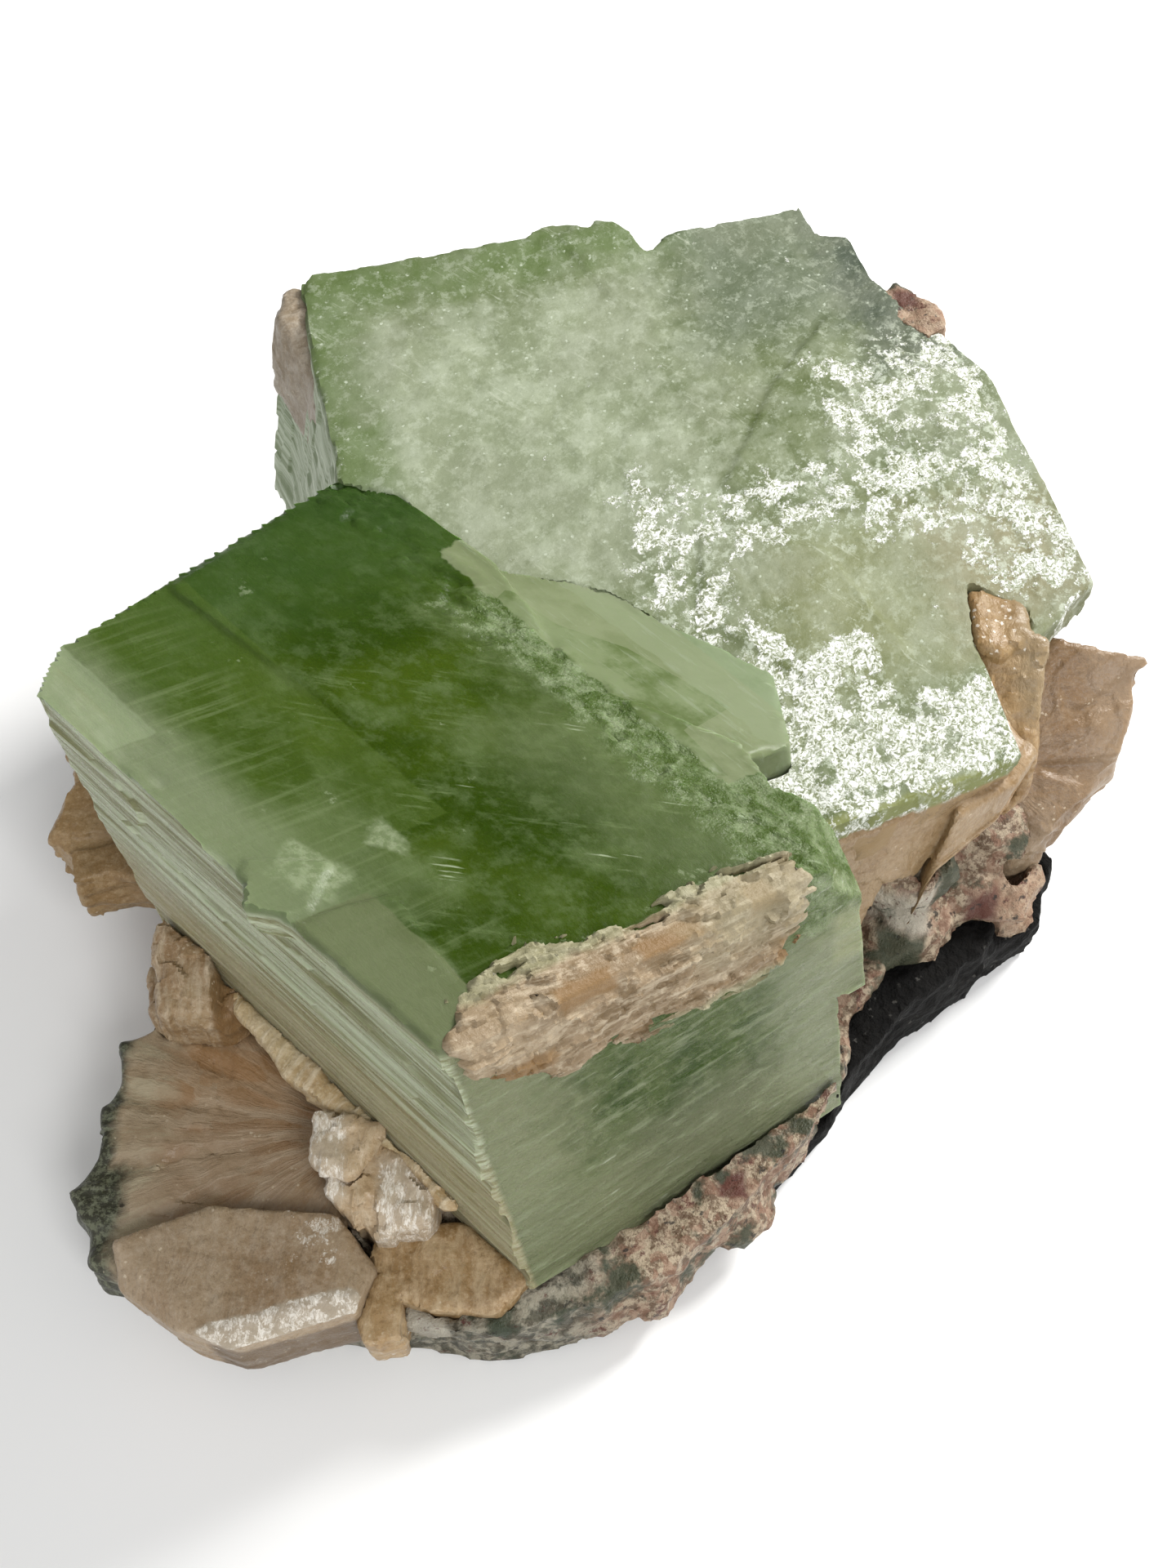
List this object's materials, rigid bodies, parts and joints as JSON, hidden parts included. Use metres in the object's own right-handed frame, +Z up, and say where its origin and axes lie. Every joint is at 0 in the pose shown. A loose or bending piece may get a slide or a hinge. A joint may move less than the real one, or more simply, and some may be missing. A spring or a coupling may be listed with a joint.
{
  "type": "calcite with apophyllite specimen",
  "caption": "Hand-size mineral specimen: two cloudy green rhombs and peach blade crystals grown on a mottled crust over dark basalt, resting on its flat underside.",
  "frame": {"origin": "centre of the specimen's box on the surface it rests on", "axes": "+Z up from the flat underside, +X to the right and -Y towards the front rhomb's low corner"},
  "size_m": [0.1254, 0.139, 0.0561],
  "materials": {
    "moss_green_calcite": "glassy with frosted patches",
    "frosted_green_calcite": "etched, sparkling",
    "peach_stilbite": "silky",
    "cream_stilbite": "fibrous, silky",
    "mottled_crust_rock": "rough",
    "dark_basalt": "matt"
  },
  "bodies": {
    "root": {"front_green_crystal": "moss_green_calcite", "ridge_peach_cap": "cream_stilbite", "front_peach_slab": "peach_stilbite", "back_green_crystal": "frosted_green_calcite", "notch_peach_column": "peach_stilbite", "right_peach_fan": "peach_stilbite", "rear_peach_coat": "cream_stilbite", "peach_fringe": "cream_stilbite", "upper_peach_block": "cream_stilbite", "left_peach_column": "peach_stilbite", "front_peach_blade": "peach_stilbite", "lower_peach_block": "peach_stilbite", "left_peach_plate": "peach_stilbite", "lower_left_peach_fan": "peach_stilbite", "mottled_crust": "mottled_crust_rock", "basalt_base": "dark_basalt"}
  },
  "joints": []
}
